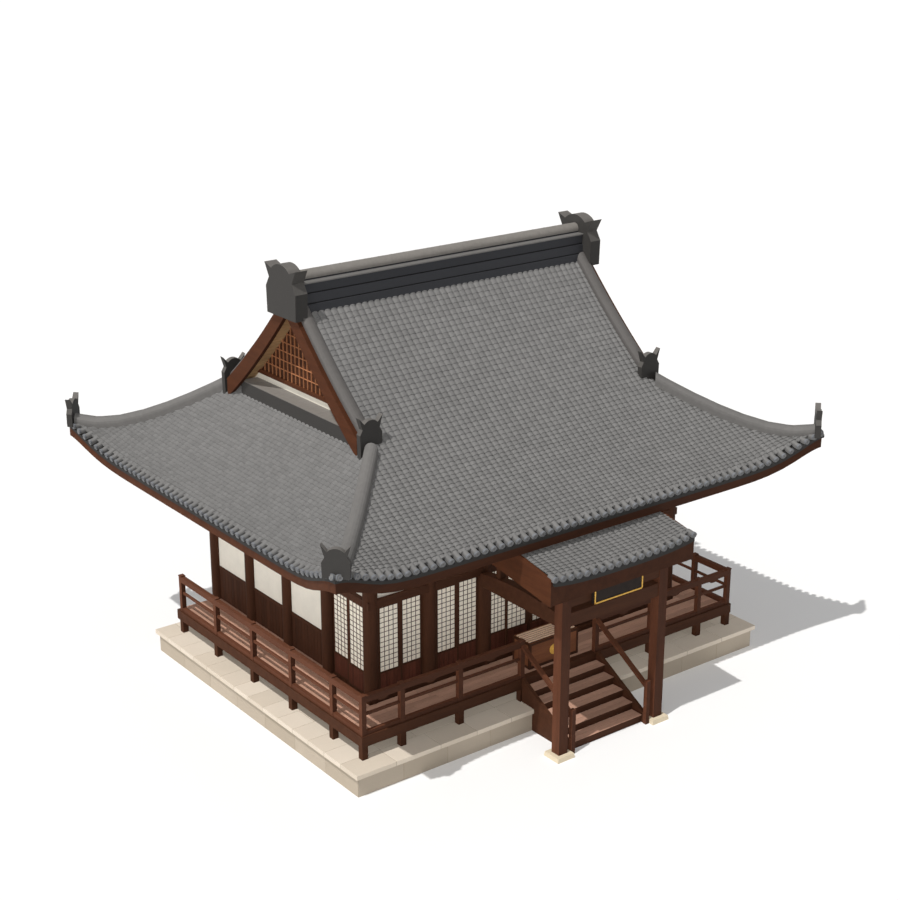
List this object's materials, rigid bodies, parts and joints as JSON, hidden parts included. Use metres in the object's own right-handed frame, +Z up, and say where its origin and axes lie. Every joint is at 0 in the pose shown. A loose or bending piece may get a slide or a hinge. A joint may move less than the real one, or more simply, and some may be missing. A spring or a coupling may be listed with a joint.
{
  "type": "temple hall",
  "caption": "Timber temple hall on a stone platform, with railed veranda, sliding paper doors, entrance stair, step canopy and a curved tiled hip-and-gable roof.",
  "frame": {"origin": "on the ground, at the centre of the rectangle of wall columns, inside the platform's footprint", "axes": "+X to the right as seen from the front, the front with the stair faces -Y, +Z up"},
  "size_m": [13.74, 12.125, 9.9503],
  "materials": {
    "stone": "dressed blocks, matte",
    "paving_stone": "sawn slabs, matte",
    "dark_timber": "dark weathered timber",
    "red_timber": "red-brown weathered timber",
    "floor_boards": "worn planks",
    "box_timber": "oiled timber",
    "black_lacquer": "dull black lacquer",
    "paper_door": "dark timber lattice with white paper",
    "plaster": "lime plaster, matte",
    "roof_tiles": "fired grey clay, matte",
    "ridge_tiles": "fired dark grey clay, matte"
  },
  "bodies": {
    "hall": {"canopy_beams": "dark_timber", "canopy_boards": "dark_timber", "canopy_posts": "dark_timber", "canopy_roof": "roof_tiles", "canopy_stones": "paving_stone", "ceiling": "floor_boards", "columns": "dark_timber", "corner_plates": "ridge_tiles", "corner_ridges": "ridge_tiles", "door_tracks": "dark_timber", "eave_boards": "dark_timber", "fixed_leaves": "paper_door", "floors": "floor_boards", "front_railing": "dark_timber", "gable_boards": "red_timber", "gable_foot_ridges": "ridge_tiles", "gable_walls": "plaster", "left_railing": "dark_timber", "lintels": "dark_timber", "lower_roof": "roof_tiles", "main_ridge": "ridge_tiles", "name_board": "black_lacquer", "offertory_box": "box_timber", "paving": "paving_stone", "plank_walls": "dark_timber", "plaster_walls": "plaster", "platform": "stone", "ridge_ends": "ridge_tiles", "right_railing": "dark_timber", "sills": "dark_timber", "slope_plates": "ridge_tiles", "slope_ridges": "ridge_tiles", "stair": "dark_timber", "stair_rails": "dark_timber", "upper_roof": "roof_tiles", "veranda_frame": "dark_timber", "wall_plates": "dark_timber"},
    "bay1_leaf_a": {"bay1_leaf_a": "paper_door"},
    "bay1_leaf_b": {"bay1_leaf_b": "paper_door"},
    "bay2_leaf_a": {"bay2_leaf_a": "paper_door"},
    "bay2_leaf_b": {"bay2_leaf_b": "paper_door"},
    "bay4_leaf_a": {"bay4_leaf_a": "paper_door"},
    "bay4_leaf_b": {"bay4_leaf_b": "paper_door"},
    "bay5_leaf_a": {"bay5_leaf_a": "paper_door"},
    "bay5_leaf_b": {"bay5_leaf_b": "paper_door"},
    "left_leaf_a": {"left_leaf_a": "paper_door"},
    "left_leaf_b": {"left_leaf_b": "paper_door"},
    "middle_leaf_a": {"middle_leaf_a": "paper_door"},
    "middle_leaf_b": {"middle_leaf_b": "paper_door"},
    "right_leaf_a": {"right_leaf_a": "paper_door"},
    "right_leaf_b": {"right_leaf_b": "paper_door"}
  },
  "joints": [
    {"name": "bay1_slide_a", "type": "slide", "parent": "hall", "child": "bay1_leaf_a", "axis": [1, 0, 0], "range_m": [0, 0.5615]},
    {"name": "bay1_slide_b", "type": "slide", "parent": "hall", "child": "bay1_leaf_b", "axis": [-1, 0, 0], "range_m": [0, 0.5615]},
    {"name": "bay2_slide_a", "type": "slide", "parent": "hall", "child": "bay2_leaf_a", "axis": [1, 0, 0], "range_m": [0, 0.5615]},
    {"name": "bay2_slide_b", "type": "slide", "parent": "hall", "child": "bay2_leaf_b", "axis": [-1, 0, 0], "range_m": [0, 0.5615]},
    {"name": "bay4_slide_a", "type": "slide", "parent": "hall", "child": "bay4_leaf_a", "axis": [1, 0, 0], "range_m": [0, 0.5615]},
    {"name": "bay4_slide_b", "type": "slide", "parent": "hall", "child": "bay4_leaf_b", "axis": [-1, 0, 0], "range_m": [0, 0.5615]},
    {"name": "bay5_slide_a", "type": "slide", "parent": "hall", "child": "bay5_leaf_a", "axis": [1, 0, 0], "range_m": [0, 0.5615]},
    {"name": "bay5_slide_b", "type": "slide", "parent": "hall", "child": "bay5_leaf_b", "axis": [-1, 0, 0], "range_m": [0, 0.5615]},
    {"name": "left_slide_a", "type": "slide", "parent": "hall", "child": "left_leaf_a", "axis": [0, 1, 0], "range_m": [0, 0.604]},
    {"name": "left_slide_b", "type": "slide", "parent": "hall", "child": "left_leaf_b", "axis": [0, -1, 0], "range_m": [0, 0.604]},
    {"name": "middle_slide_a", "type": "slide", "parent": "hall", "child": "middle_leaf_a", "axis": [-1, 0, 0], "range_m": [0, 0.43]},
    {"name": "middle_slide_b", "type": "slide", "parent": "hall", "child": "middle_leaf_b", "axis": [1, 0, 0], "range_m": [0, 0.43]},
    {"name": "right_slide_a", "type": "slide", "parent": "hall", "child": "right_leaf_a", "axis": [0, 1, 0], "range_m": [0, 0.604]},
    {"name": "right_slide_b", "type": "slide", "parent": "hall", "child": "right_leaf_b", "axis": [0, -1, 0], "range_m": [0, 0.604]}
  ]
}
